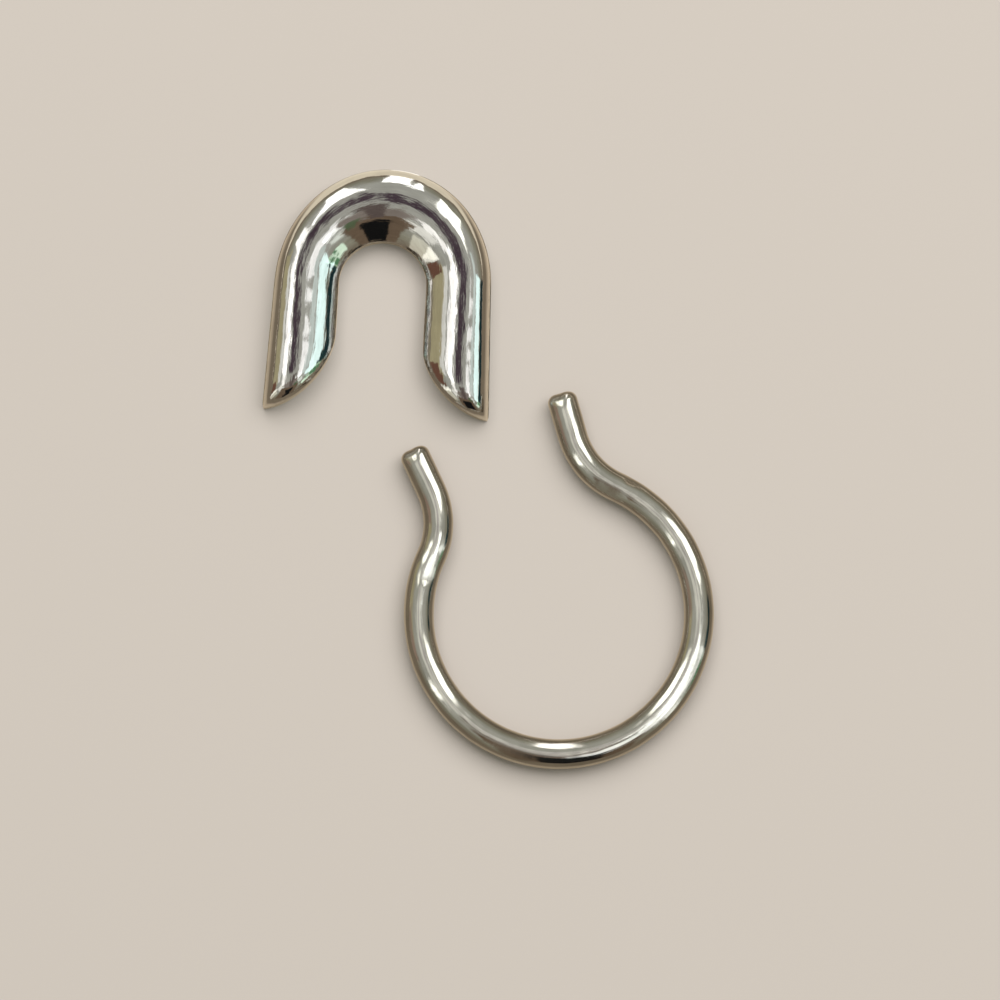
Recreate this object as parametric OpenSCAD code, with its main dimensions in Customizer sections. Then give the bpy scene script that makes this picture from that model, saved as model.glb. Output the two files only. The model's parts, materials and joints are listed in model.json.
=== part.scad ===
// Septum ring in two pieces that lie apart: an omega-shaped ring of round wire, and a domed,
// U-shaped cover that slips over the two ends of the wire.
// Lengths are in millimetres. Both pieces rest on the plane z = 0, the cover on its open back.

/* [Wire ring] */
// Thickness of the round wire, 16 gauge
wire_d = 1.2; // [0.8:0.1:1.6]
// Width of the round eye, inside the wire
eye_d = 10; // [9:0.5:12]
// Angle above the ring's cross axis at which the wire leaves the circle
leave_angle = 45; // [40:1:50]
// Radius of each return bend, at the middle of the wire
bend_r = 3.2; // [2.6:0.1:3.6]
// Outward lean of the two legs, in degrees
leg_lean = 4.5; // [0:0.5:8]
// Length of each straight leg, up to its rounded end
leg_l = 1.45; // [1:0.05:2.5]
// Radius of the rounded edge of each wire end
end_round = 0.35; // [0.1:0.05:0.35]

/* [Cover] */
// Width across both legs, level with the centre of the arch
arch_w = 8.56; // [8:0.02:9.4]
// Height of the arch above its centre
arch_rise = 4.64; // [4.2:0.02:5.2]
// Distance by which the top of the arch leans to the right, outside
arch_lean = 0.1; // [-0.3:0.05:0.3]
// Width of the gap, level with the centre of the arch
gap_w = 3.52; // [3:0.02:4]
// Height of the gap above the centre of the arch
gap_rise = 1.72; // [1.4:0.02:2.2]
// Width across the tips of the legs
tips_w = 8.96; // [8.4:0.02:9.8]
// Distance of the tips below the centre of the arch
tip_drop = 5.2; // [4.6:0.1:6]
// Distance below the centre of the arch at which the left leg's inner edge starts to sweep out
left_sweep_drop = 2.15; // [1.8:0.05:3.2]
// The same on the right leg
right_sweep_drop = 2.55; // [1.8:0.05:3.2]
// Fullness of that sweep: 1 is a straight slant, 2 a quarter of an ellipse
sweep_power = 1.6; // [1.3:0.05:2]
// Height of the crest above the flat back
crest_h = 1.55; // [1.2:0.05:2]
// Height of the upright outer edge below the dome
outer_edge_h = 0.4; // [0:0.05:0.6]
// Height of the upright inner edge, round the gap
inner_edge_h = 0.8; // [0.4:0.05:1]
// Thickness of the cover's wall
wall = 0.35; // [0.25:0.05:0.45]

/* [Layout] */
// Turn of the wire ring, anticlockwise seen from above
ring_turn = 20.6; // [12:0.2:30]
// Turn of the cover
cover_turn = -3.2; // [-20:0.2:0]
// Distance of the arch's centre to the right of the ring's centre
cover_across = -7.06; // [-10:0.02:-5]
// Distance of the arch's centre behind the ring's centre
cover_along = 13.22; // [12:0.02:16]

/* [Hidden] */
$fn = 96;

// Middle of the wire: the circle, the return bends and the legs
wire_r = wire_d / 2;
ring_r = eye_d / 2 + wire_r;
bend_centre = (ring_r + bend_r) * [cos(leave_angle), sin(leave_angle)];
bend_sweep = leave_angle + leg_lean;
// Bends are drawn this much slimmer than the circle, and legs than bends, so that each round end
// lies wholly inside the one it meets
slimmer = 0.002;
bend_wire_r = wire_r - slimmer;
leg_wire_r = bend_wire_r - slimmer;

// The crest line runs this share of the width in from the outer edge
crest_share = 0.37;
crest_w = arch_w - crest_share * (arch_w - gap_w);
crest_rise = arch_rise - crest_share * (arch_rise - gap_rise);
outer_stand = outer_edge_h / crest_h;
inner_stand = inner_edge_h / crest_h;
// Share of the height that the claws' swept edges stand upright at the tips, after an even rise
claw_stand = 0.92;
// Fullness of the flanks: 1 is the brow of a hill, 2 a quarter of an ellipse, which ends upright
outer_power = 2.5;
inner_power = 1;
// Down the claw the crest bends to its middle by the first power, and sinks by the next two
crest_bend = 2.6;
crest_sink = 7;
crest_roll = 0.5;
// Share of the claw that the hollow reaches into, and the power by which it closes there
hollow_reach = 0.8;
hollow_power = 4;
// The wall takes no more than this share of a narrow section
wall_share = 0.3;

// Numbers of steps along and across the cover
arch_steps = 36;
leg_steps = 3;
claw_steps = 12;
outer_steps = 8;
inner_steps = 11;
// The last section stands this share of the claw from its start, which leaves a blunt tip
claw_end = 0.995;

// Whole outline's reach from the ring's centre, which puts the layout's middle on the origin
reach_left = cover_across - tips_w / 2 * cos(cover_turn) + tip_drop * sin(cover_turn);
reach_right = ring_r + wire_r;
reach_back = cover_along + norm([
    arch_w / 2 * sin(cover_turn), arch_rise * cos(cover_turn) + arch_lean * sin(cover_turn)
]);
reach_front = -ring_r - wire_r;
ring_centre = -[reach_left + reach_right, reach_back + reach_front] / 2;
cover_centre = ring_centre + [cover_across, cover_along];

function reversed(list) = [for (i = [len(list) - 1 : -1 : 0]) list[i]];

// A section across the cover: its edges and crest as places in plan, the crest's height, the hollow's
// height, and the share of the height that the inner edge stands upright
function section(outer, crest, inner, rise, hollow, stand) = [[outer, crest, inner], rise, hollow, stand];

// Section over the arch, at an angle from the right leg
function arch_section(angle) =
    let (way = [cos(angle), sin(angle)])
    section(
        [arch_w / 2 * way.x + arch_lean * way.y, arch_rise * way.y],
        [crest_w / 2 * way.x, crest_rise * way.y],
        [gap_w / 2 * way.x, gap_rise * way.y],
        crest_h, crest_h - wall, inner_stand
    );

// Section of a leg at a distance below the centre of the arch; side is 1 on the right, -1 on the left
function leg_section(side, drop) =
    let (
        start = side < 0 ? left_sweep_drop : right_sweep_drop,
        claw = max(0, (drop - start) / (tip_drop - start)),
        outer = (arch_w + (tips_w - arch_w) * drop / tip_drop) / 2,
        inner = outer - (outer - gap_w / 2) * pow(1 - pow(claw, sweep_power), 1 / sweep_power),
        crest = crest_w / 2 + ((outer + inner) / 2 - crest_w / 2) * pow(claw, crest_bend),
        rise = crest_h * pow(1 - pow(claw, crest_sink), crest_roll),
        hollow = (crest_h - wall) * sqrt(max(0, 1 - pow(claw / hollow_reach, hollow_power))),
        stand = inner_stand + (claw_stand - inner_stand) * claw
    )
    section([side * outer, -drop], [side * crest, -drop], [side * inner, -drop], rise, hollow, stand);

// Point of a flank between its foot and the crest, at an angle from 0 at the foot to 90 at the crest.
// The foot is at zero, and the rest of the flank stands on its upright edge.
function flank(crest, foot, fullness, stand, angle, rise) =
    let (flat = crest + (foot - crest) * pow(cos(angle), 2 / outer_power))
    [flat.x, flat.y, rise * (stand * sign(angle) + (1 - stand) * pow(sin(angle), 2 / fullness))];

// Points of a domed surface over a section's places, from the outer edge over the crest to the inner
function dome(places, rise, stand) = [
    for (i = [0 : outer_steps])
        flank(places[1], places[0], outer_power, outer_stand, 90 * i / outer_steps, rise),
    for (i = [1 : inner_steps])
        flank(places[1], places[2], inner_power, stand, 90 - 90 * i / inner_steps, rise)
];

// Closed ring of points round the cover's wall at a section: the outside, then the hollow's inside,
// which is the same dome drawn in towards the middle of the section
function wall_ring(section) =
    let (
        places = section[0],
        rise = section[1],
        hollow = section[2],
        stand = section[3],
        middle = (places[0] + places[2]) / 2,
        squeeze = 1 - 2 * min(wall / norm(places[2] - places[0]), wall_share),
        drawn_in = [for (place = places) middle + (place - middle) * squeeze]
    )
    concat(dome(places, rise, stand), reversed(dome(drawn_in, hollow, stand)));

module wire_end() {
    rotate_extrude() {
        square([leg_wire_r - end_round, end_round]);
        translate([leg_wire_r - end_round, 0])
            intersection() {
                circle(r = end_round);
                square(end_round);
            }
    }
}

// Return bend and straight leg on the right, both set out from the bend's centre
module wire_leg() {
    translate(bend_centre) {
        rotate_extrude(angle = bend_sweep, start = 180 - leg_lean)
            translate([bend_r, 0])
                circle(r = bend_wire_r);
        rotate(180 - leg_lean)
            translate([bend_r, 0, 0])
                rotate([90, 0, 0]) {
                    cylinder(h = leg_l, r = leg_wire_r);
                    translate([0, 0, leg_l])
                        wire_end();
                }
    }
}

module wire_ring() {
    color("silver")
        translate([ring_centre.x, ring_centre.y, wire_r])
            rotate(ring_turn) {
                rotate_extrude(angle = 180 + 2 * leave_angle, start = 180 - leave_angle)
                    translate([ring_r, 0])
                        circle(r = wire_r);
                wire_leg();
                mirror([1, 0, 0])
                    wire_leg();
            }
}

// Sections of a leg, from just below the arch's centre to the tip: even steps down to the start of
// the sweep, then closer and closer ones
function leg_sections(side, start) = [
    for (i = [1 : leg_steps]) leg_section(side, start * i / leg_steps),
    for (i = [1 : claw_steps])
        leg_section(side, start + (tip_drop - start) * claw_end * sin(90 * i / claw_steps))
];

module cover() {
    sections = concat(
        reversed(leg_sections(1, right_sweep_drop)),
        [for (i = [0 : arch_steps]) arch_section(180 * i / arch_steps)],
        leg_sections(-1, left_sweep_drop)
    );
    rings = [for (section = sections) wall_ring(section)];
    n = len(rings[0]);
    last = len(rings) - 1;
    sides = [
        for (i = [0 : last - 1], j = [0 : n - 1])
            let (a = i * n + j, b = i * n + (j + 1) % n)
            each [[a, b, b + n], [a, b + n, a + n]]
    ];
    // The end faces start at the crest, so that no triangle of theirs is flat
    first_end = [for (j = [0 : n - 1]) (outer_steps + j) % n];
    last_end = reversed([for (j = first_end) last * n + j]);
    color("gainsboro")
        translate(cover_centre)
            rotate(cover_turn)
                polyhedron(
                    [for (ring = rings) each ring],
                    concat([reversed(first_end)], sides, [reversed(last_end)])
                );
}

wire_ring();
cover();
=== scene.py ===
import json
from collections import namedtuple
from math import atan2, cos, pi, radians, sin, tan

import bpy
import numpy as np
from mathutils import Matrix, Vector, noise


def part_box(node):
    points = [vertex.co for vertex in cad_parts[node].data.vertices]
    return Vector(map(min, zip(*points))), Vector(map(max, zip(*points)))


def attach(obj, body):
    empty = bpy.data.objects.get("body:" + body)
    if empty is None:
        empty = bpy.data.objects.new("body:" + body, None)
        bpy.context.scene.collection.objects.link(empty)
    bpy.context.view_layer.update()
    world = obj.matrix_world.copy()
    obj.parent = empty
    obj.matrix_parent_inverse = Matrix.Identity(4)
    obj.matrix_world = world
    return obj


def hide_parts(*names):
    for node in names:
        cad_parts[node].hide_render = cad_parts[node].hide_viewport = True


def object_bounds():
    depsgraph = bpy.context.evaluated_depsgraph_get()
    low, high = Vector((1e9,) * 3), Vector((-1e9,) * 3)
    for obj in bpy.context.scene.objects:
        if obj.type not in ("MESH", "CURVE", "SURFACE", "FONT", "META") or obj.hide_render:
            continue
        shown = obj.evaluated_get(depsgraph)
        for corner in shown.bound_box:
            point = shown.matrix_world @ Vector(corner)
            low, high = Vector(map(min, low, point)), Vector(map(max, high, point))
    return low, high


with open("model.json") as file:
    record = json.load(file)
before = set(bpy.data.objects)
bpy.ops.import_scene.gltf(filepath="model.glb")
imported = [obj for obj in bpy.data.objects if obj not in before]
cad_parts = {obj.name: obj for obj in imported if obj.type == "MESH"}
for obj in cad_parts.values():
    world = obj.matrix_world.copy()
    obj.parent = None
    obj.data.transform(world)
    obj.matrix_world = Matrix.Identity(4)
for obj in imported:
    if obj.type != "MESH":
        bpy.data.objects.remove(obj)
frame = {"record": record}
cad_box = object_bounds()

MM = 0.001
TINY = 1e-12  # keeps a division away from zero

# Wire ring: the CAD part's sizes, then the steps of the mesh
RING_R = 5.6 * MM
LEAVE_ANGLE = radians(45)
BEND_R = 3.2 * MM
LEG_LEAN = radians(4.5)
LEG_L = 1.45 * MM
END_ROUND = 0.35 * MM
WIRE_STEP = 0.05 * MM
WIRE_SIDES = 64
WIRE_PASSES = 12  # smoothing of the wire's middle line
CIRCLE_POINTS = 240
BEND_POINTS = 90
LEG_POINTS = 60
END_POINTS = 12

# Marks that pliers and wear have left on the wire: how far along from the middle of the arc, to the
# right, and how long; the way a flat faces, turned from outward towards up, and its tilt along the
# wire; its depth
Mark = namedtuple("Mark", "along length way tilt depth")
MARKS = (
    Mark(12.55 * MM, 0.9 * MM, radians(40), radians(8), 0.05 * MM),
    Mark(13.35 * MM, 1.4 * MM, radians(124), 0, 0.05 * MM),
    Mark(-12.8 * MM, 1.5 * MM, radians(104), radians(3), 0.04 * MM),
    Mark(3.4 * MM, 4.4 * MM, radians(74), 0, 0.04 * MM),
    Mark(-3.9 * MM, 2.4 * MM, radians(62), 0, 0.02 * MM),
    Mark(17.3 * MM, 1.3 * MM, radians(108), radians(18), 0.03 * MM),
    Mark(-17.3 * MM, 1.3 * MM, radians(72), radians(-18), 0.03 * MM),
)
MARK_ENDS = 4  # the higher, the more squarely a mark ends
MARK_PASSES = 7  # smoothing of the cuts
WORN_DEPTH = 0.02 * MM  # a cut this deep is worn all over
LEAST_FACING = 0.1  # a flat cuts no further round the wire than this cosine

# Waves in the polished skins: height, length and seed
Wave = namedtuple("Wave", "height length seed")
WIRE_WAVES = (Wave(0.010 * MM, 1.5 * MM, 3), Wave(0.005 * MM, 0.5 * MM, 4))
COVER_WAVES = (Wave(0.006 * MM, 1.2 * MM, 1), Wave(0.005 * MM, 0.5 * MM, 2))
SEED_SHIFT = (7.3, 3.1, 5.7)  # each seed reads the noise this far from the one before
SUNK = 0.005 * MM  # the waves lie about this much under the plain skin
UNDERSIDE = 0.6  # the wire's waves fade out downwards, and end this share of its radius below its middle

# Cover: the CAD part's sizes, shares and powers, then its burr and the steps of the mesh
ARCH_W = 8.56 * MM
ARCH_RISE = 4.64 * MM
ARCH_LEAN = 0.1 * MM
GAP_W = 3.52 * MM
GAP_RISE = 1.72 * MM
TIPS_W = 8.96 * MM
TIP_DROP = 5.2 * MM
LEFT_SWEEP_DROP = 2.15 * MM
RIGHT_SWEEP_DROP = 2.55 * MM
SWEEP_POWER = 1.6
CREST_H = 1.55 * MM
OUTER_STAND = 0.4 * MM / CREST_H
INNER_STAND = 0.8 * MM / CREST_H
CLAW_STAND = 0.92
WALL = 0.35 * MM
CREST_SHARE = 0.37
OUTER_POWER = 2.5
INNER_POWER = 1
CREST_BEND = 2.6
CREST_SINK = 7
CREST_ROLL = 0.5
HOLLOW_REACH = 0.8
HOLLOW_POWER = 4
WALL_SHARE = 0.3
HOLLOW_DROP = 1.0 * MM  # the mounts in the hollow stand this far below the arch's centre
LIP = 0.07 * MM  # the burr left along the foot of the outside: how far it stands out, and how high
LIP_H = 0.1 * MM
LIP_SHARE = 0.1  # it stands out no more than this share of a narrow section
ARCH_STEPS = 200
LEG_STEPS = 32
CLAW_STEPS = 100
CLAW_END = 0.9985
COVER_PASSES = 30  # smoothing of its lines
FLANK_STEPS = 40
CROWDING = 1.6  # the power by which a flank's points crowd towards its foot
EDGE_STEPS = 10
CALM = 0.4 * MM  # the waves fade out over this distance from the edges

# Small dents in the cover: place in plan from the arch's centre, radius and depth
Dent = namedtuple("Dent", "place radius depth")
DENTS = (
    Dent((-2.1 * MM, 0.65 * MM), 0.4 * MM, 0.025 * MM),
    Dent((2.2 * MM, 0.85 * MM), 0.4 * MM, 0.025 * MM),
    Dent((-0.8 * MM, 4.3 * MM), 0.3 * MM, 0.02 * MM),
    Dent((1.15 * MM, 4.05 * MM), 0.35 * MM, 0.02 * MM),
    Dent((2.75 * MM, 3.15 * MM), 0.4 * MM, 0.03 * MM),
    Dent((-3.75 * MM, 1.9 * MM), 0.3 * MM, 0.02 * MM),
    Dent((-3.8 * MM, -0.7 * MM), 0.3 * MM, 0.015 * MM),
    Dent((-3.85 * MM, -2.3 * MM), 0.35 * MM, 0.015 * MM),
)

# Metals: darkest and brightest colour, least and most roughness, and what is added to the roughness
# where the wire is worn and in the cover's hollow
WIRE_TONES = ((0.40, 0.39, 0.36), (0.74, 0.72, 0.67))
WIRE_ROUGHNESS = (0.06, 0.20)
WORN_ROUGHNESS = 0.1
MIRROR_TONES = ((0.46, 0.45, 0.44), (0.86, 0.85, 0.82))
MIRROR_ROUGHNESS = (0.03, 0.12)
HOLLOW_ROUGHNESS = 0.3

# Camera, as the photograph was taken: from the front, almost straight down, through a long lens
VIEW_ELEVATION = radians(86)
VIEW_ACROSS = 40 * MM
VIEW_CENTRE = Vector((0.46, -1.25, 0.6)) * MM
VIEW_DISTANCE = 0.4
SENSOR = 36.0
CLIP_START = 0.01

# Floor: its own colour, then painted reflections that metal sees in it instead of that colour: darker far
# off as painted shade, lighter close by and behind the cover as painted light
FLOOR_SIZE = 4.0
FLOOR_ROUGHNESS = 0.9
FLOOR_COLOUR = (0.55, 0.51, 0.48)
PAINTED_REFLECTION_FAR = (0.20, 0.165, 0.125)
PAINTED_REFLECTION_NEAR = (0.78, 0.65, 0.50)
PAINTED_REFLECTION_BACK = (0.75, 0.68, 0.56)
NEAR_REACH = 2 * MM  # the close colour fades into the far one over this distance
BACK_REACH = 1 * MM  # and into the one behind the cover over this distance, up to the back of the box

# Light from the air at shares of the way up from the horizon, and a dark spot overhead: its colour,
# its azimuth and elevation, and its radius in degrees
AIR = ((0.0, (0.22, 0.17, 0.12)), (0.4, (0.31, 0.30, 0.23)), (0.75, (0.46, 0.46, 0.41)))
OVERHEAD_COLOUR = (0.075, 0.05, 0.065)
OVERHEAD_PLACE = (221, 84.6)
OVERHEAD_REACH = 5.6
OVERHEAD_RIM = (0.8, 1.1)  # it fades out between these shares of its radius

# Distances of the soft lamps and the glowing cards of painted reflection, in metres; what stands nearer
# hides what is behind it
LAMPS_AT = 0.5
CARDS_AT = 0.2
NEARER_CARDS = 0.19
NEAREST_CARDS = 0.18
BEFORE_CARDS = 0.17


def mount(name):
    """A mount's place and axis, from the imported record."""
    found = next(m for m in frame["record"]["mounts"] if m["name"] == name)
    return Vector(found["pos_m"]), Vector(found["axis"])


def placed(points, centre, turn):
    """Points of a piece's own frame, turned about +Z and moved to its centre."""
    c, s = cos(turn), sin(turn)
    x, y, z = points[..., 0], points[..., 1], points[..., 2]
    return np.stack([centre[0] + x * c - y * s, centre[1] + x * s + y * c, centre[2] + z], axis=-1)


def relaxed(line, passes):
    """A row of values along a line, smoothed by repeated averaging; its two ends stay."""
    line = np.array(line, float)
    for _ in range(passes):
        line[1:-1] = (line[:-2] + 2 * line[1:-1] + line[2:]) / 4
    return line


def distances(line):
    """Distance of each point of a line from its start, along the line."""
    return np.concatenate([[0], np.cumsum(np.linalg.norm(np.diff(line, axis=0), axis=1))])


def waves(points, size, seed):
    """Smooth noise between -1 and 1 at each point, with bumps of about the given size."""
    shift = Vector([seed * step for step in SEED_SHIFT])
    found = [noise.noise(Vector(p) / size + shift) for p in points.reshape(-1, 3)]
    return np.array(found).reshape(points.shape[:-1])


def swell(points, skin_waves):
    """How far the waves lift a skin at each point."""
    return sum(w.height * waves(points, w.length, w.seed) for w in skin_waves) - SUNK


def skin_normals(rings):
    """Outward way at each point of a skin over rings."""
    along = np.gradient(rings, axis=0)
    around = (np.roll(rings, -1, axis=1) - np.roll(rings, 1, axis=1)) / 2
    way = np.cross(along, around)
    return way / np.maximum(np.linalg.norm(way, axis=-1, keepdims=True), TINY)


def softened(field, passes):
    """Values over a skin, smoothed along it and around it by repeated averaging."""
    for _ in range(passes):
        field = (np.roll(field, 1, axis=1) + 2 * field + np.roll(field, -1, axis=1)) / 4
        field = np.vstack([field[:1], (field[:-2] + 2 * field[1:-1] + field[2:]) / 4, field[-1:]])
    return field


def attribute(piece, name, values):
    """A number for each point of a piece, which its material reads."""
    layer = piece.data.attributes.new(name, "FLOAT", "POINT")
    layer.data.foreach_set("value", np.asarray(values, np.float32).ravel())


def grid_mesh(name, rings, run, across):
    """A closed skin over rings of points, mapped by the run along it and the way across each ring.

    Each row of across holds one value more than its ring has points, for the seam."""
    n, m = rings.shape[:2]
    i, j = (grid.ravel() for grid in np.mgrid[0 : n - 1, 0:m])
    rows, columns = np.stack([i, i + 1, i + 1, i], axis=1), np.stack([j, j, j + 1, j + 1], axis=1)
    sides = rows * m + columns % m
    first_end, last_end = range(m), range(n * m - 1, (n - 1) * m - 1, -1)
    mesh = bpy.data.meshes.new(name)
    mesh.from_pydata(rings.reshape(-1, 3), [], [*sides.tolist(), first_end, last_end])
    places = np.stack([run[rows], across[rows, columns]], axis=-1) / MM
    end_across = np.concatenate([across[0, :-1], across[-1, -2::-1]])
    ends = np.stack([np.repeat(run[[0, -1]], m), end_across], axis=-1)
    layer = mesh.uv_layers.new(name="UVMap")
    layer.data.foreach_set("uv", np.concatenate([places.ravel(), (ends / MM).ravel()]))
    mesh.polygons.foreach_set("use_smooth", [True] * len(mesh.polygons))
    mesh.update()
    piece = bpy.data.objects.new(name, mesh)
    bpy.context.collection.objects.link(piece)
    return piece


def wire_line():
    """Middle of the wire in the ring's own frame, from the left end to the right one, in even steps."""
    bend_centre = (RING_R + BEND_R) * np.array([cos(LEAVE_ANGLE), sin(LEAVE_ANGLE)])
    circle = [RING_R * np.array([cos(a), sin(a)]) for a in np.linspace(-pi / 2, LEAVE_ANGLE, CIRCLE_POINTS)]
    bend = [
        bend_centre + BEND_R * np.array([cos(a), sin(a)])
        for a in np.linspace(pi + LEAVE_ANGLE, pi - LEG_LEAN, BEND_POINTS)
    ]
    foot, way = bend[-1], np.array([sin(LEG_LEAN), cos(LEG_LEAN)])
    leg = [foot + way * t for t in np.linspace(0, LEG_L + END_ROUND, LEG_POINTS)]
    right = np.array(circle + bend[1:] + leg[1:])
    whole = np.concatenate([right[:0:-1] * [-1, 1], right])
    run = distances(whole)
    even = np.linspace(0, run[-1], round(run[-1] / WIRE_STEP) + 1)
    line = np.stack([np.interp(even, run, whole[:, k]) for k in (0, 1)], axis=1)
    return even, relaxed(line, WIRE_PASSES)


def end_share(distance):
    """Share of the wire's radius at a distance from its end, over the rounded edge."""
    if distance >= END_ROUND:
        return 1.0
    wire_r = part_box("wire_ring")[1].z / 2
    across = (END_ROUND**2 - (END_ROUND - distance) ** 2) ** 0.5
    return (wire_r - END_ROUND + across) / wire_r


def marked(around, along, r):
    """How far the marks cut into the wire at each place, and how worn it is there."""
    cut = np.zeros((len(along), len(around)))
    for mark in MARKS:
        past = (along - mark.along)[:, None]
        part = np.clip(1 - (2 * past / mark.length) ** MARK_ENDS, 0, 1)
        toward = np.cos(around - mark.way)
        flat = (r - mark.depth * part - past * tan(mark.tilt)) / np.maximum(toward, LEAST_FACING)
        cut = np.maximum(cut, np.where((part > 0) & (toward > LEAST_FACING), r - flat, 0))
    cut = softened(cut, MARK_PASSES)
    return cut, np.clip(cut / WORN_DEPTH, 0, 1)


def wire_ring():
    """The omega-shaped ring of round wire, waved, marked and worn."""
    seat, seat_axis = mount("piercing_seat")
    turn = atan2(seat_axis.y, seat_axis.x)
    wire_r = seat.z
    centre = seat + Vector((-sin(turn), cos(turn), 0)) * RING_R
    run, line = wire_line()
    length = run[-1]
    ends = END_ROUND * (1 - np.cos(np.linspace(0, pi / 2, END_POINTS)))[:-1]
    between = run[(run >= END_ROUND) & (run <= length - END_ROUND)]
    stations = np.concatenate([ends, between, length - ends[::-1]])
    middle = np.stack([np.interp(stations, run, line[:, k]) for k in (0, 1)], axis=1)
    way = np.gradient(middle, stations, axis=0)
    way /= np.linalg.norm(way, axis=1)[:, None]
    side = np.stack([way[:, 1], -way[:, 0]], axis=1)
    around = np.linspace(0, 2 * pi, WIRE_SIDES, endpoint=False)
    cut, worn = marked(around, stations - length / 2, wire_r)
    share = np.array([end_share(min(s, length - s)) for s in stations])
    reach = wire_r * share[:, None] - cut
    flat = middle[:, None] + side[:, None] * (reach * np.cos(around))[..., None]
    rings = np.concatenate([flat, (reach * np.sin(around))[..., None]], axis=-1)
    lifted = np.clip(rings[..., 2] / wire_r + UNDERSIDE, 0, 1)
    rings += skin_normals(rings) * (swell(rings, WIRE_WAVES) * lifted)[..., None]
    across = np.linspace(0, 2 * pi * wire_r, WIRE_SIDES + 1)
    across = np.broadcast_to(across, (len(stations), WIRE_SIDES + 1))
    piece = grid_mesh("polished_wire", placed(rings, centre, turn), stations, across)
    attribute(piece, "worn", worn)
    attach(piece, "root")
    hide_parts("wire_ring")
    return piece


def lines_of_the_cover():
    """Stations along the cover, from the right tip over the arch to the left one.

    Each row holds the outer edge, crest and inner edge in plan, then the crest's height, the hollow's
    height, and the share of the height that the inner edge stands upright."""
    crest_w = ARCH_W - CREST_SHARE * (ARCH_W - GAP_W)
    crest_rise = ARCH_RISE - CREST_SHARE * (ARCH_RISE - GAP_RISE)

    def leg(side, drop):
        """Row at a distance below the arch's centre; side is 1 on the right, -1 on the left."""
        start = LEFT_SWEEP_DROP if side < 0 else RIGHT_SWEEP_DROP
        claw = max(0, (drop - start) / (TIP_DROP - start))
        outer = (ARCH_W + (TIPS_W - ARCH_W) * drop / TIP_DROP) / 2
        inner = outer - (outer - GAP_W / 2) * (1 - claw**SWEEP_POWER) ** (1 / SWEEP_POWER)
        crest = crest_w / 2 + ((outer + inner) / 2 - crest_w / 2) * claw**CREST_BEND
        rise = CREST_H * (1 - claw**CREST_SINK) ** CREST_ROLL
        hollow = (CREST_H - WALL) * max(0, 1 - (claw / HOLLOW_REACH) ** HOLLOW_POWER) ** 0.5
        stand = INNER_STAND + (CLAW_STAND - INNER_STAND) * claw
        places = [side * outer, -drop, side * crest, -drop, side * inner, -drop]
        return [*places, rise, hollow, stand]

    def arch(angle):
        """Row over the arch, at an angle from the right leg."""
        c, s = cos(angle), sin(angle)
        return [
            ARCH_W / 2 * c + ARCH_LEAN * s, ARCH_RISE * s,
            crest_w / 2 * c, crest_rise * s,
            GAP_W / 2 * c, GAP_RISE * s,
            CREST_H, CREST_H - WALL, INNER_STAND,
        ]

    def leg_drops(start):
        """Distances of a leg's rows below the arch's centre, closest together at the tip."""
        straight = np.linspace(0, start, LEG_STEPS + 1)[1:]
        claw = CLAW_END * np.sin(np.linspace(0, pi / 2, CLAW_STEPS + 1)[1:])
        return [*straight, *(start + (TIP_DROP - start) * claw)]

    rows = [leg(1, drop) for drop in reversed(leg_drops(RIGHT_SWEEP_DROP))]
    rows += [arch(pi * i / ARCH_STEPS) for i in range(ARCH_STEPS + 1)]
    rows += [leg(-1, drop) for drop in leg_drops(LEFT_SWEEP_DROP)]
    return relaxed(rows, COVER_PASSES)


def dome(outer, crest, inner, rise, stand, lip):
    """Points over a section, from the outer edge over the crest to the inner one.

    The outer foot flares out by the lip."""
    share = np.linspace(0, 1, FLANK_STEPS + 1)
    up = pi / 2 * share**CROWDING
    down = pi / 2 * (1 - (1 - share[1:]) ** CROWDING)
    outside = up, outer, OUTER_POWER, OUTER_STAND, lip
    inside = pi / 2 - down, inner, INNER_POWER, stand, 0
    points = []
    for angles, foot, power, upright, flare in (outside, inside):
        flat = crest + np.outer(np.cos(angles) ** (2 / OUTER_POWER), foot - crest)
        z = rise * (upright + (1 - upright) * np.abs(np.sin(angles)) ** (2 / power))
        foot_z = np.linspace(0, 1, EDGE_STEPS, endpoint=False) ** 2 * rise * upright
        out = flare * np.clip(1 - foot_z / LIP_H, 0, 1) ** 2 / np.linalg.norm(foot - crest)
        wall = np.column_stack([foot + np.outer(out, foot - crest), foot_z])
        flank = np.column_stack([flat, z])
        points += [wall, flank] if foot is outer else [flank, wall[::-1]]
    return np.concatenate(points)


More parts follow.
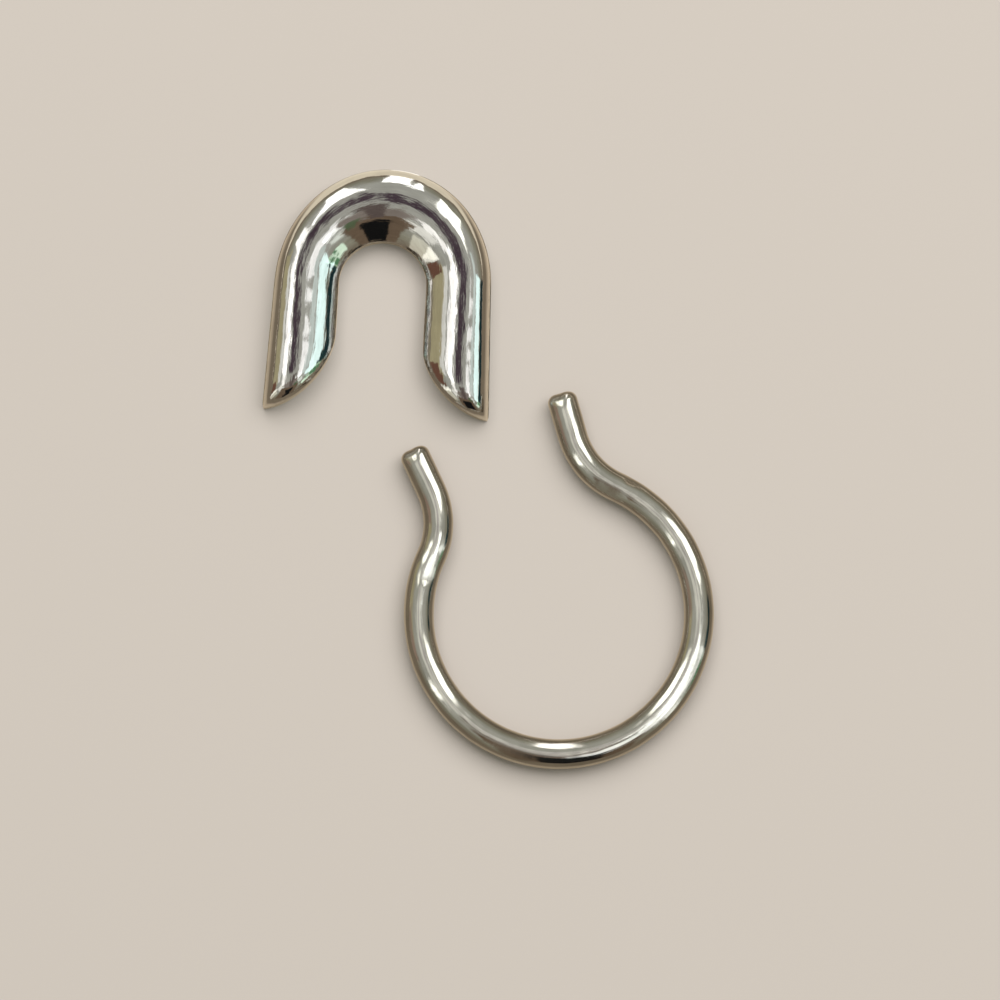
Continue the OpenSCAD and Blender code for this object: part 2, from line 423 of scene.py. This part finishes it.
def cover():
    """The domed shell with its hollow, waved, dented and with a burr along its foot."""
    right, _ = mount("cover_hollow_right")
    left, _ = mount("cover_hollow_left")
    turn = atan2(right.y - left.y, right.x - left.x)
    centre = (right + left) / 2 + Vector((-sin(turn), cos(turn), 0)) * HOLLOW_DROP
    rings = []
    rows = lines_of_the_cover()
    for row in rows:
        outer, crest, inner = row[0:2], row[2:4], row[4:6]
        rise, hollow, stand = row[6:9]
        width = np.linalg.norm(inner - outer)
        middle = (outer + inner) / 2
        squeeze = 1 - 2 * min(WALL / width, WALL_SHARE)
        lip = min(LIP, width * LIP_SHARE)
        drawn_in = [middle + (place - middle) * squeeze for place in (outer, crest, inner)]
        skin = dome(outer, crest, inner, rise, stand, lip)
        lining = dome(*drawn_in, hollow, stand, 0)
        ring = np.concatenate([skin, lining[::-1]])
        skin_size = len(skin)
        rings.append(ring)
    rings = np.array(rings)
    run = distances(rows[:, 2:4])
    across = np.array([distances(np.concatenate([ring, ring[:1]])) for ring in rings])
    outside = np.arange(rings.shape[1]) < skin_size
    ways = skin_normals(rings)
    edges = [np.linalg.norm(rings[..., :2] - rows[:, None, k : k + 2], axis=-1) for k in (0, 4)]
    lifted = np.clip(np.minimum(*edges) / CALM, 0, 1) ** 2 * outside
    lift = swell(rings, COVER_WAVES)
    for dent in DENTS:
        away = np.linalg.norm(rings[..., :2] - dent.place, axis=-1) / dent.radius
        lift -= dent.depth * np.exp(-(away**2))
    rings += ways * (lift * lifted)[..., None]
    piece = grid_mesh("mirror_shell", placed(rings, centre, turn), run, across)
    attribute(piece, "inside", np.broadcast_to(~outside, rings.shape[:2]))
    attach(piece, "root")
    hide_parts("cover")
    return piece


class Nodes:
    """Short hand for the node tree of a material or a world."""

    def __init__(self, holder):
        holder.use_nodes = True
        self.tree = holder.node_tree
        self.shader = self.tree.nodes.get("Principled BSDF")

    def add(self, kind, inputs=None, **settings):
        """A new node; each input is an output to link from or a plain value."""
        node = self.tree.nodes.new(kind)
        for key, value in settings.items():
            setattr(node, key, value)
        for key, value in (inputs or {}).items():
            if isinstance(value, bpy.types.NodeSocket):
                self.tree.links.new(value, node.inputs[key])
            else:
                node.inputs[key].default_value = value
        return node

    def link(self, output, socket):
        """Links an output to the shader."""
        self.tree.links.new(output, self.shader.inputs[socket])


def mixed(n, factor, low, high):
    """Number that runs from low to high as factor runs from 0 to 1."""
    return n.add("ShaderNodeMapRange", {"Value": factor, "To Min": low, "To Max": high}).outputs["Result"]


def summed(n, first, second):
    """Sum of two numbers, plain ones or outputs."""
    return n.add("ShaderNodeMath", {0: first, 1: second}, operation="ADD").outputs[0]


def product(n, first, second):
    """Product of two numbers, plain ones or outputs."""
    return n.add("ShaderNodeMath", {0: first, 1: second}, operation="MULTIPLY").outputs[0]


def streaks(n, along, across, detail):
    """Noise in the piece's own map, drawn out along it; the two scales count per millimetre."""
    place = n.add("ShaderNodeTexCoord").outputs["UV"]
    scaled = n.add("ShaderNodeMapping", {"Vector": place, "Scale": (along, across, 1)}).outputs["Vector"]
    return n.add("ShaderNodeTexNoise", {"Vector": scaled, "Scale": 1.0, "Detail": detail}).outputs["Fac"]


def blotches(n, size, detail):
    """Noise in space, with spots of about the given size."""
    place = n.add("ShaderNodeTexCoord").outputs["Object"]
    return n.add("ShaderNodeTexNoise", {"Vector": place, "Scale": 1 / size, "Detail": detail}).outputs["Fac"]


def bump(n, height, depth, under=None):
    """Normals of a relief with the given full depth, over those of another relief if one is given."""
    inputs = {"Height": height, "Distance": depth, "Strength": 1.0}
    if under:
        inputs["Normal"] = under
    return n.add("ShaderNodeBump", inputs).outputs["Normal"]


def colour_between(n, factor, low, high):
    """Colour that runs from low to high, plain colours or outputs, as factor runs from 0 to 1."""
    node = n.add("ShaderNodeMix", data_type="RGBA")
    n.tree.links.new(factor, node.inputs["Factor"])
    for name, colour in (("A", low), ("B", high)):
        socket = next(s for s in node.inputs if s.name == name and s.type == "RGBA")
        if isinstance(colour, bpy.types.NodeSocket):
            n.tree.links.new(colour, socket)
        else:
            socket.default_value = (*colour, 1)
    return next(s for s in node.outputs if s.type == "RGBA")


def drawn_wire_steel():
    """Bright drawn wire: fine lines along it, and dull scratches where pliers and wear have marked it."""
    material = bpy.data.materials.new("drawn_wire_steel")
    n = Nodes(material)
    n.shader.inputs["Metallic"].default_value = 1.0
    worn = n.add("ShaderNodeAttribute", attribute_name="worn").outputs["Fac"]
    lines = streaks(n, along=0.4, across=16, detail=4)
    grooves = streaks(n, along=0.3, across=5, detail=2)
    scratches = streaks(n, along=6, across=2, detail=4)
    clouds = streaks(n, along=0.8, across=1.6, detail=4)
    n.link(colour_between(n, clouds, *WIRE_TONES), "Base Color")
    dullness = mixed(n, lines, *WIRE_ROUGHNESS)
    n.link(summed(n, dullness, mixed(n, worn, 0, WORN_ROUGHNESS)), "Roughness")
    drawn = bump(n, lines, depth=0.003 * MM, under=bump(n, grooves, depth=0.012 * MM))
    n.link(bump(n, product(n, scratches, worn), depth=0.006 * MM, under=drawn), "Normal")
    return material


def mirror_steel():
    """Mirror polish with faint buffing lines and clouds; the hollow's inside is left dull."""
    material = bpy.data.materials.new("mirror_steel")
    n = Nodes(material)
    n.shader.inputs["Metallic"].default_value = 1.0
    inside = n.add("ShaderNodeAttribute", attribute_name="inside").outputs["Fac"]
    clouds = blotches(n, size=0.9 * MM, detail=3)
    buffed = streaks(n, along=1.2, across=7, detail=3)
    tone = product(n, summed(n, clouds, buffed), 0.5)
    n.link(colour_between(n, tone, *MIRROR_TONES), "Base Color")
    dullness = mixed(n, clouds, *MIRROR_ROUGHNESS)
    n.link(summed(n, dullness, mixed(n, inside, 0, HOLLOW_ROUGHNESS)), "Roughness")
    pits = product(n, blotches(n, size=0.12 * MM, detail=4), inside)
    polished = bump(n, buffed, depth=0.006 * MM)
    n.link(bump(n, pits, depth=0.02 * MM, under=polished), "Normal")
    return material


def rectangle(name, wide, tall):
    """A flat piece that faces up, not yet put in its place."""
    mesh = bpy.data.meshes.new(name)
    w, h = wide / 2, tall / 2
    mesh.from_pydata([(-w, -h, 0), (w, -h, 0), (w, h, 0), (-w, h, 0)], [], [(0, 1, 2, 3)])
    return bpy.data.objects.new(name, mesh)


def floor():
    """A pale floor. Metal sees painted reflections in it instead: darker and warmer than the floor as
    painted shade, lightest close by and behind the cover as painted light.
    """
    plane = rectangle("floor", FLOOR_SIZE, FLOOR_SIZE)
    bpy.context.collection.objects.link(plane)
    material = bpy.data.materials.new("pale_floor")
    n = Nodes(material)
    # glossy rays see painted reflection colours here, not the floor's own colour: painted light close by and
    # behind the cover, painted shade far off
    path = n.add("ShaderNodeLightPath")
    away = n.add("ShaderNodeMapRange", {"Value": path.outputs["Ray Length"], "From Max": NEAR_REACH})
    painted_reflection = colour_between(n, away.outputs["Result"], PAINTED_REFLECTION_NEAR, PAINTED_REFLECTION_FAR)
    place = n.add("ShaderNodeSeparateXYZ", {"Vector": n.add("ShaderNodeTexCoord").outputs["Object"]})
    back_y = cad_box[1].y
    back = {"Value": place.outputs["Y"], "From Min": back_y - BACK_REACH, "From Max": back_y}
    behind = n.add("ShaderNodeMapRange", back).outputs["Result"]
    painted_reflection = colour_between(n, behind, painted_reflection, PAINTED_REFLECTION_BACK)
    n.link(colour_between(n, path.outputs["Is Glossy Ray"], FLOOR_COLOUR, painted_reflection), "Base Color")
    n.shader.inputs["Roughness"].default_value = FLOOR_ROUGHNESS
    n.shader.inputs["Specular IOR Level"].default_value = 0.0
    plane.data.materials.append(material)
    return plane


def direction(azimuth, elevation):
    """Way from the object towards a lamp; azimuth 0 is the front and 90 the right."""
    a, e = radians(azimuth), radians(elevation)
    return Vector((sin(a) * cos(e), -cos(a) * cos(e), sin(e)))


def facing(holder, azimuth, elevation, distance):
    """Puts a lamp or card in its place, turned towards the object."""
    way = direction(azimuth, elevation)
    holder.location = way * distance
    holder.rotation_euler = way.to_track_quat("Z", "Y").to_euler()
    bpy.context.collection.objects.link(holder)


def spanning(angle, distance):
    """Size of what spans an angle in degrees at a distance."""
    return 2 * distance * tan(radians(angle / 2))


def softbox(name, azimuth, elevation, wide, tall, brightness, colour, lit, distance=LAMPS_AT):
    """A soft lamp, wide and tall in degrees as the object sees it; lit names what it lights."""
    lamp = bpy.data.lights.new(name, "AREA")
    lamp.shape = "ELLIPSE" if lit == "wire" else "RECTANGLE"
    lamp.size = spanning(wide, distance)
    lamp.size_y = spanning(tall, distance)
    lamp.energy = brightness * pi * lamp.size * lamp.size_y
    lamp.color = colour
    holder = bpy.data.objects.new(name, lamp)
    holder.light_linking.receiver_collection = bpy.data.collections[lit]
    facing(holder, azimuth, elevation, distance)


def reflection_card(name, azimuth, elevation, wide, tall, colour, distance=CARDS_AT):
    """A card that glows with its colour and that only the metal's reflections see: a painted reflection of
    dark surroundings, wide and tall in degrees.
    """
    card = rectangle(name, spanning(wide, distance), spanning(tall, distance))
    card.visible_camera = card.visible_diffuse = card.visible_shadow = False
    facing(card, azimuth, elevation, distance)
    material = bpy.data.materials.new(name)
    n = Nodes(material)
    n.shader.inputs["Base Color"].default_value = (0, 0, 0, 1)
    n.shader.inputs["Specular IOR Level"].default_value = 0.0
    # the card glows with its colour though it is no lamp: a painted reflection
    n.shader.inputs["Emission Color"].default_value = (*colour, 1)
    n.shader.inputs["Emission Strength"].default_value = 1.0
    card.data.materials.append(material)


def collected(name, *objects):
    """A collection of what a lamp of its own lights."""
    made = bpy.data.collections.new(name)
    for thing in objects:
        made.objects.link(thing)


def studio_air():
    """Soft light from all round: grey above, olive towards the horizon, with a dark spot overhead."""
    world = bpy.data.worlds.new("studio")
    bpy.context.scene.world = world
    n = Nodes(world)
    way = n.add("ShaderNodeTexCoord").outputs["Generated"]
    height = n.add("ShaderNodeSeparateXYZ", {"Vector": way}).outputs["Z"]
    ramp = n.add("ShaderNodeValToRGB", {"Fac": height})
    stops = ramp.color_ramp.elements
    stops.new(0.5)
    for stop, (at, colour) in zip(stops, AIR):
        stop.position = at
        stop.color = (*colour, 1)
    middle = direction(*OVERHEAD_PLACE)
    away = n.add("ShaderNodeVectorMath", {0: way, 1: middle}, operation="DISTANCE").outputs["Value"]
    reach = radians(OVERHEAD_REACH)
    inner, outer = (share * reach for share in OVERHEAD_RIM)
    rim = {"Value": away, "From Min": inner, "From Max": outer}
    clear = n.add("ShaderNodeMapRange", rim).outputs["Result"]
    colour = colour_between(n, clear, OVERHEAD_COLOUR, ramp.outputs["Color"])
    n.tree.links.new(colour, n.tree.nodes["Background"].inputs["Color"])


def wire_lamps():
    """The lamps that light only the wire."""
    lit = "wire"
    softbox("wire_left", 232, 48, 18, 42, 1.9, (1, 1, 0.9), lit)
    softbox("wire_back", 178, 24, 13, 60, 1.9, (1, 0.96, 0.93), lit)
    softbox("wire_key", 120, 50, 16, 42, 2.0, (1, 1, 0.94), lit)
    softbox("wire_right", 46, 66, 34, 32, 2.0, (0.96, 1, 1), lit)
    softbox("wire_right_arm", 75, 32, 7, 44, 1.0, (0.94, 1, 1), lit)
    softbox("wire_front_arm", 53, 32, 7, 34, 1.1, (0.97, 1, 0.98), lit)
    softbox("wire_front", 27, 52, 22, 23, 1.1, (0.96, 1, 1), lit, BEFORE_CARDS)
    softbox("wire_front_haze", 2, 77, 10, 23, 0.35, (1, 0.99, 0.92), lit, BEFORE_CARDS)
    softbox("wire_left_haze", 277, 21, 23, 26, 0.14, (1, 0.94, 0.78), lit, BEFORE_CARDS)
    softbox("wire_small", 300, 46, 4, 32, 2.0, (1, 1, 0.94), lit)
    softbox("wire_overhead", 285, 84, 20, 40, 0.38, (1, 0.99, 0.92), lit)


def cover_lamps():
    """The lamps that light only the cover."""
    lit = "cover"
    softbox("cover_left", 209, 46, 13, 46, 1.7, (1, 1, 0.98), lit)
    softbox("cover_left_beam", 236, 57, 7, 34, 1.3, (1, 0.97, 0.96), lit)
    softbox("cover_left_wing", 257, 65, 11, 19, 1.1, (1, 0.97, 0.98), lit)
    softbox("cover_left_front", 286, 68, 22, 12, 1.0, (1, 0.98, 0.97), lit)
    softbox("cover_left_haze", 262, 44, 16, 12, 0.45, (1, 0.98, 0.96), lit)
    softbox("cover_key", 140, 51, 11, 46, 1.8, (1, 1, 0.93), lit)
    softbox("cover_back", 171, 20, 15, 46, 2.0, (1, 1, 0.98), lit)
    softbox("cover_right", 80, 72, 16, 16, 0.9, (0.97, 0.97, 1), lit)
    softbox("cover_right_front", 44, 68, 18, 11, 1.0, (0.97, 1, 1), lit)
    softbox("cover_right_haze", 92, 57, 26, 14, 0.35, (0.75, 0.98, 1), lit)
    softbox("cool_window", 84, 34, 26, 25, 1.15, (0.7, 0.98, 1), lit)
    softbox("green_window", 57, 22, 16, 16, 0.9, (0.72, 1, 0.8), lit)
    softbox("green_haze", 71, 21, 10, 22, 0.4, (0.5, 1, 0.62), lit)
    softbox("green_front", 47, 50, 15, 15, 0.55, (0.9, 1, 0.93), lit)
    softbox("cream_front", 313, 52, 22, 18, 0.6, (1, 0.98, 0.92), lit)
    softbox("cream_window", 295, 22, 8, 34, 0.75, (1, 0.99, 0.92), lit)
    softbox("cream_haze", 308, 19, 26, 34, 0.45, (1, 0.97, 0.82), lit)


def flags():
    """Painted reflections of the dark surroundings that the two pieces show, from cards that glow with their
    colours.
    """
    reflection_card("olive_flag", 262, 24, 28, 28, (0.46, 0.41, 0.25))
    reflection_card("brown_flag", 277, 21, 20, 23, (0.18, 0.09, 0.06), NEARER_CARDS)
    reflection_card("front_flag", 5, 34, 56, 58, (0.17, 0.12, 0.08))
    reflection_card("front_haze", 5, 71, 30, 18, (0.27, 0.23, 0.20))
    reflection_card("front_line", 2, 74, 8, 28, (0.13, 0.10, 0.09), NEARER_CARDS)
    reflection_card("green_flag", 34, 58, 8, 14, (0.11, 0.15, 0.08), NEARER_CARDS)
    reflection_card("green_shade", 69, 18, 9, 16, (0.11, 0.26, 0.13), NEARER_CARDS)
    reflection_card("green_streak", 61, 29, 3, 10, (0.13, 0.28, 0.15), NEARER_CARDS)
    reflection_card("front_gap", 5, 29, 26, 46, (0.008, 0.008, 0.008), NEAREST_CARDS)
    reflection_card("right_gap", 81, 18, 9, 15, (0.02, 0.05, 0.05), NEAREST_CARDS)
    reflection_card("low_right_gap", 88, 7.5, 20, 22, (0.015, 0.035, 0.038), NEAREST_CARDS)


def camera():
    """The photograph's view."""
    lens = bpy.data.cameras.new("camera")
    lens.sensor_width = SENSOR
    lens.lens = SENSOR * VIEW_DISTANCE / VIEW_ACROSS
    lens.clip_start = CLIP_START
    eye = bpy.data.objects.new("camera", lens)
    back = Vector((0, -cos(VIEW_ELEVATION), sin(VIEW_ELEVATION)))
    eye.location = VIEW_CENTRE + back * VIEW_DISTANCE
    eye.rotation_euler = back.to_track_quat("Z", "Y").to_euler()
    bpy.context.collection.objects.link(eye)
    bpy.context.scene.camera = eye


wire = wire_ring()
wire.data.materials.append(drawn_wire_steel())
shell = cover()
shell.data.materials.append(mirror_steel())
collected("cover", shell)
collected("wire", wire)
collected("floor", floor())
studio_air()
softbox("floor_lamp", 160, 60, 70, 50, 3.2, (1, 0.97, 0.94), "floor")
wire_lamps()
cover_lamps()
flags()
camera()
bpy.context.scene.view_settings.view_transform = "Standard"
